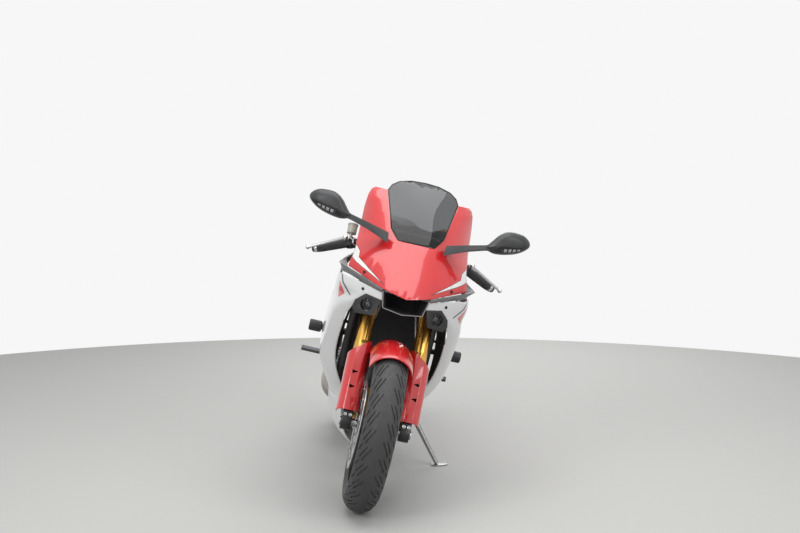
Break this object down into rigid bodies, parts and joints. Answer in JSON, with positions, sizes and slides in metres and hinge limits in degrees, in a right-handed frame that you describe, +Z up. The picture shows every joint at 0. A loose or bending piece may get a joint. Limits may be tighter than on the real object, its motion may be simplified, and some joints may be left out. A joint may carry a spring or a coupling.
{
  "type": "sport bike",
  "caption": "Sport motorcycle with full side cowls and clip-on bars, leaned on its side stand; its steering, wheels, side stand and fuel cap turn.",
  "frame": {"origin": "middle of the bike's bounding box in plan, on the floor that both tyres and the side stand rest on", "axes": "+Z up from the floor, +Y from the front wheel to the rear wheel, +X to the rider's left, the side that the bike leans to"},
  "size_m": [0.8446, 2.0248, 1.1499],
  "materials": {
    "body_red": "gloss paint",
    "cowl_white": "gloss paint",
    "dark_grey": "satin",
    "black_plastic": "moulded",
    "tyre": "moulded rubber",
    "black_metal": "satin black",
    "disc_steel": "ground",
    "steel": "machined",
    "gold": "gold anodised",
    "aluminium": "satin",
    "dark_alloy": "dark cast",
    "rubber": "moulded",
    "seat_cover": "vinyl",
    "clear_lens": "clear",
    "smoke_screen": "smoked",
    "red_lens": "tinted"
  },
  "bodies": {
    "chassis": {"air_intake": "black_plastic", "belly_pan": "cowl_white", "cowl_stays": "black_metal", "crash_bobbins": "black_plastic", "drive_chain": "steel", "engine": "dark_alloy", "fairing_stay": "black_metal", "fuel_tank": "body_red", "header_pipes": "steel", "headlamp_lenses": "clear_lens", "headlamp_pods": "black_plastic", "inner_panels": "black_plastic", "instrument_panel": "black_plastic", "main_frame": "black_metal", "mirrors": "dark_grey", "nose_cowl": "body_red", "nose_trims": "dark_grey", "pillion_seat": "seat_cover", "plate_holder": "black_plastic", "radiator": "dark_alloy", "rear_caliper": "gold", "rear_hugger": "black_plastic", "rear_shafts": "steel", "rear_shock": "steel", "rear_subframe": "black_metal", "rearsets": "dark_alloy", "rider_seat": "seat_cover", "side_cowls": "cowl_white", "silencer": "steel", "swingarm": "dark_alloy", "tail_cowl": "body_red", "tail_lamp": "red_lens", "windscreen": "smoke_screen"},
    "fork": {"brake_hoses": "rubber", "brake_reservoir": "black_plastic", "clip_ons": "black_metal", "fork_legs": "black_metal", "fork_tubes": "gold", "front_axle": "steel", "front_calipers": "gold", "front_fender": "body_red", "grips": "rubber", "levers": "aluminium", "lower_clamp": "dark_alloy", "upper_clamp": "dark_alloy"},
    "front_wheel": {"front_discs": "disc_steel", "front_rim": "black_metal", "front_tyre": "tyre"},
    "rear_wheel": {"rear_disc": "disc_steel", "rear_rim": "black_metal", "rear_sprocket": "steel", "rear_tyre": "tyre"},
    "side_stand": {"side_stand": "aluminium"},
    "fuel_cap": {"fuel_cap": "aluminium"}
  },
  "joints": [
    {"name": "steering", "type": "hinge", "parent": "chassis", "child": "fork", "pos_m": [-0.14472, -0.68617, 0.28232], "axis": [0.2086, 0.4061, 0.8897], "range_deg": [-27, 27]},
    {"name": "front_wheel_spin", "type": "hinge", "parent": "fork", "child": "front_wheel", "pos_m": [-0.14204, -0.71249, 0.29371], "axis": [0.9736, 0.0002, -0.2284], "continuous": true},
    {"name": "rear_wheel_spin", "type": "hinge", "parent": "chassis", "child": "rear_wheel", "pos_m": [-0.13747, 0.69249, 0.31413], "axis": [0.9736, 0.0002, -0.2284], "continuous": true},
    {"name": "side_stand_fold", "type": "hinge", "parent": "chassis", "child": "side_stand", "pos_m": [-0.00493, 0.02253, 0.25692], "axis": [0.8781, -0.0788, 0.4719], "range_deg": [0, 90]},
    {"name": "fuel_cap_open", "type": "hinge", "parent": "chassis", "child": "fuel_cap", "pos_m": [0.01073, -0.19593, 0.94539], "axis": [0.9736, 0.0002, -0.2284], "range_deg": [0, 90]}
  ]
}
